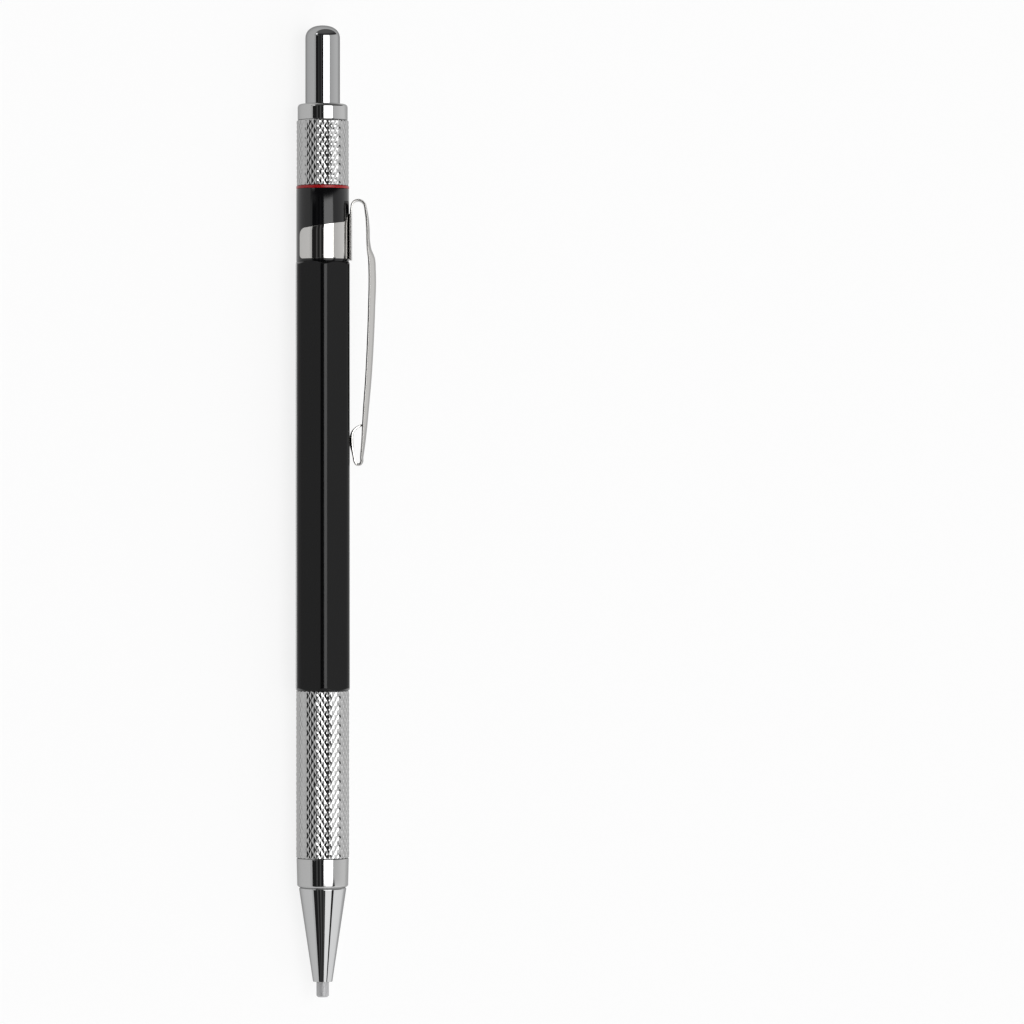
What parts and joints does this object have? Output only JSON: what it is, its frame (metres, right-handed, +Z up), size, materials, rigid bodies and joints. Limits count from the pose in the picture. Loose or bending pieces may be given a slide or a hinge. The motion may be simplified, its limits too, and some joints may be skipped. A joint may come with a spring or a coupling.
{
  "type": "clutch pencil",
  "caption": "Clutch pencil that holds a thick lead in a spring-loaded chuck, with a push button, knurled grip, hexagonal barrel and pocket clip.",
  "frame": {"origin": "centre of the bounding box in plan, on the surface that the pencil lies on", "axes": "+X along the pencil from the lead's tip to the push button, +Z up; it lies on a flat of its barrel, and the clip points to -Y and 57 degrees from straight up"},
  "size_m": [0.1542, 0.0122, 0.0099],
  "materials": {
    "chrome": "polished chrome plate",
    "knurled_chrome": "satin chrome plate over a diamond knurl",
    "clip_steel": "polished nickel on spring steel",
    "black_barrel": "satin black",
    "black_collar": "semi-gloss black",
    "red_plastic": "semi-gloss",
    "brass": "turned",
    "steel": "drawn",
    "spring_steel": "drawn wire",
    "lead": "matte graphite",
    "dark_plastic": "moulded"
  },
  "bodies": {
    "holder": {"nose_cone": "chrome", "clutch_ring": "brass", "grip_sleeve": "knurled_chrome", "hex_barrel": "black_barrel", "spring_seat": "steel", "return_spring": "spring_steel", "clip_collar": "black_collar", "clip_band": "clip_steel", "red_ring": "red_plastic", "rear_bush": "knurled_chrome"},
    "push_rod": {"chuck_body": "brass", "lead_tube": "steel", "spring_collar": "steel", "button_socket": "brass"},
    "jaw_a": {"jaw_1": "brass"},
    "jaw_b": {"jaw_2": "brass"},
    "jaw_c": {"jaw_3": "brass"},
    "lead": {"lead": "lead"},
    "cap": {"button_cap": "chrome", "pointer_body": "dark_plastic", "pointer_blade": "steel"},
    "clip": {"clip_arm": "clip_steel"}
  },
  "joints": [
    {"name": "push_button", "type": "slide", "parent": "holder", "child": "push_rod", "axis": [-1, 0, 0], "range_m": [0, 0.0034], "stiffness_N_per_m": 400, "springref_m": -0.008, "deforming": ["return_spring"]},
    {"name": "jaw_a_open", "type": "hinge", "parent": "push_rod", "child": "jaw_a", "pos_m": [-0.0571, 0.00021, 0.00371], "axis": [0, -0.454, 0.891], "range_deg": [0, 0.5]},
    {"name": "jaw_b_open", "type": "hinge", "parent": "push_rod", "child": "jaw_b", "pos_m": [-0.0571, 0.00246, 0.00359], "axis": [0, -0.5446, -0.8387], "range_deg": [0, 0.5]},
    {"name": "jaw_c_open", "type": "hinge", "parent": "push_rod", "child": "jaw_c", "pos_m": [-0.0571, 0.00144, 0.0056], "axis": [0, 0.9986, -0.0523], "range_deg": [0, 0.5]},
    {"name": "lead_feed", "type": "slide", "parent": "push_rod", "child": "lead", "axis": [-1, 0, 0], "range_m": [-0.0024, 0.01]},
    {"name": "cap_pull", "type": "slide", "parent": "push_rod", "child": "cap", "axis": [1, 0, 0], "range_m": [0, 0.012]},
    {"name": "clip_flex", "type": "hinge", "parent": "holder", "child": "clip", "pos_m": [0.04827, -0.00244, 0.00678], "axis": [0, 0.5446, 0.8387], "range_deg": [0, 6], "stiffness_Nm_per_rad": 1.5, "springref_deg": -1.72}
  ],
  "couplings": [
    {"joint": "jaw_a_open", "follows": "push_button", "rad_per_m": 2.56},
    {"joint": "jaw_b_open", "follows": "push_button", "rad_per_m": 2.56},
    {"joint": "jaw_c_open", "follows": "push_button", "rad_per_m": 2.56}
  ]
}
